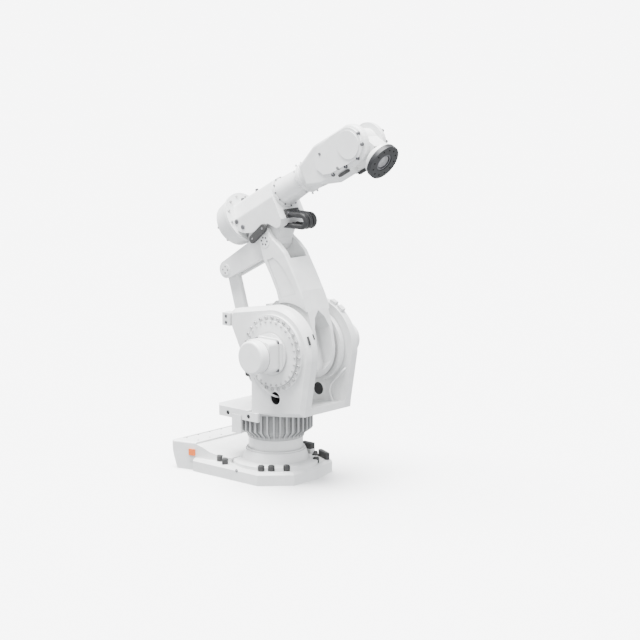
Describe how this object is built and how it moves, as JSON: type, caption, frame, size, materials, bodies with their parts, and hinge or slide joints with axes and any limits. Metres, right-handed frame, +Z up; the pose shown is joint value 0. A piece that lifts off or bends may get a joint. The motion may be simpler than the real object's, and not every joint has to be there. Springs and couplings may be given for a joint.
{
  "type": "industrial robot arm",
  "caption": "Large six-axis factory robot arm with a turning column, a leaning lower arm, a rod linkage behind it and a raised forearm with a round tool flange.",
  "frame": {"origin": "on the floor, on the turning axis of the column", "axes": "+Z up along the column's turning axis, +X forward over the front of the base, +Y to the robot's left"},
  "size_m": [2.27, 1.316, 3.2917],
  "materials": {
    "white_paint": "satin",
    "machined_steel": "satin",
    "black_steel": "satin",
    "orange_plastic": "gloss",
    "black_rubber": "matt"
  },
  "bodies": {
    "base": {"base_plate": "white_paint", "base_pedestal": "white_paint", "rear_connector_box": "white_paint", "connector_box_lid": "white_paint", "brake_release_button": "orange_plastic", "release_tag_plate": "white_paint", "slewing_stop_blocks": "black_rubber"},
    "column": {"slewing_ring": "white_paint", "column_floor": "white_paint", "column_right_side": "white_paint", "column_left_side": "white_paint", "right_gear_flange": "white_paint", "left_gear_flange": "white_paint", "right_drive_motor": "white_paint", "left_drive_motor": "white_paint", "right_motor_cap": "white_paint", "left_motor_cap": "white_paint", "rear_shelf": "white_paint", "slewing_motor": "white_paint", "right_stop_ear": "white_paint", "left_stop_ear": "white_paint", "column_rear_bumper": "black_rubber", "left_rim_blocks": "white_paint", "port_plugs": "black_rubber", "column_cables": "white_paint"},
    "lower_arm": {"lower_arm": "white_paint", "lower_arm_bosses": "white_paint", "elbow_pin": "white_paint"},
    "crank": {"crank": "white_paint", "crank_pin": "machined_steel"},
    "rod": {"linkage_rod": "white_paint"},
    "upper_arm": {"upper_arm_house": "white_paint", "clevis_pin": "white_paint", "rear_drum": "white_paint", "rear_drum_cover": "white_paint", "elbow_stop_pad": "black_rubber", "hose_loop": "black_rubber"},
    "forearm": {"forearm_tube": "white_paint", "wrist_fork": "white_paint", "wrist_right_plate": "white_paint", "wrist_left_plate": "white_paint", "wrist_right_cap": "white_paint", "wrist_left_cap": "white_paint"},
    "bend": {"bend_unit": "white_paint"},
    "tool": {"tool_flange": "black_steel"}
  },
  "joints": [
    {"name": "axis_1", "type": "hinge", "parent": "base", "child": "column", "pos_m": [0, 0, 0.372], "axis": [0, 0, 1], "range_deg": [-170, 170]},
    {"name": "axis_2", "type": "hinge", "parent": "column", "child": "lower_arm", "pos_m": [0.305, 0, 1.225], "axis": [0, 1, 0], "range_deg": [-18, 85]},
    {"name": "axis_3", "type": "hinge", "parent": "lower_arm", "child": "upper_arm", "pos_m": [0.01597, 0, 2.18232], "axis": [0, -1, 0], "range_deg": [-50, 18]},
    {"name": "crank_pivot", "type": "hinge", "parent": "lower_arm", "child": "crank", "pos_m": [0.305, 0, 1.225], "axis": [0, -1, 0], "range_deg": [-50, 18]},
    {"name": "rod_pivot", "type": "hinge", "parent": "upper_arm", "child": "rod", "pos_m": [-0.52947, 0, 1.85717], "axis": [0, -1, 0], "range_deg": [-18, 50]},
    {"name": "axis_4", "type": "hinge", "parent": "upper_arm", "child": "forearm", "pos_m": [-0.14402, 0, 2.47094], "axis": [0.8746, 0, 0.4848], "range_deg": [-300, 300]},
    {"name": "axis_5", "type": "hinge", "parent": "forearm", "child": "bend", "pos_m": [1.01923, 0, 3.11574], "axis": [0, -1, 0], "range_deg": [-42, 158]},
    {"name": "axis_6", "type": "hinge", "parent": "bend", "child": "tool", "pos_m": [1.28598, 0, 2.96787], "axis": [0.8746, 0, -0.4848], "range_deg": [-300, 300]}
  ],
  "couplings": [
    {"joint": "crank_pivot", "follows": "axis_3", "ratio": 1},
    {"joint": "rod_pivot", "follows": "axis_3", "ratio": -1}
  ]
}
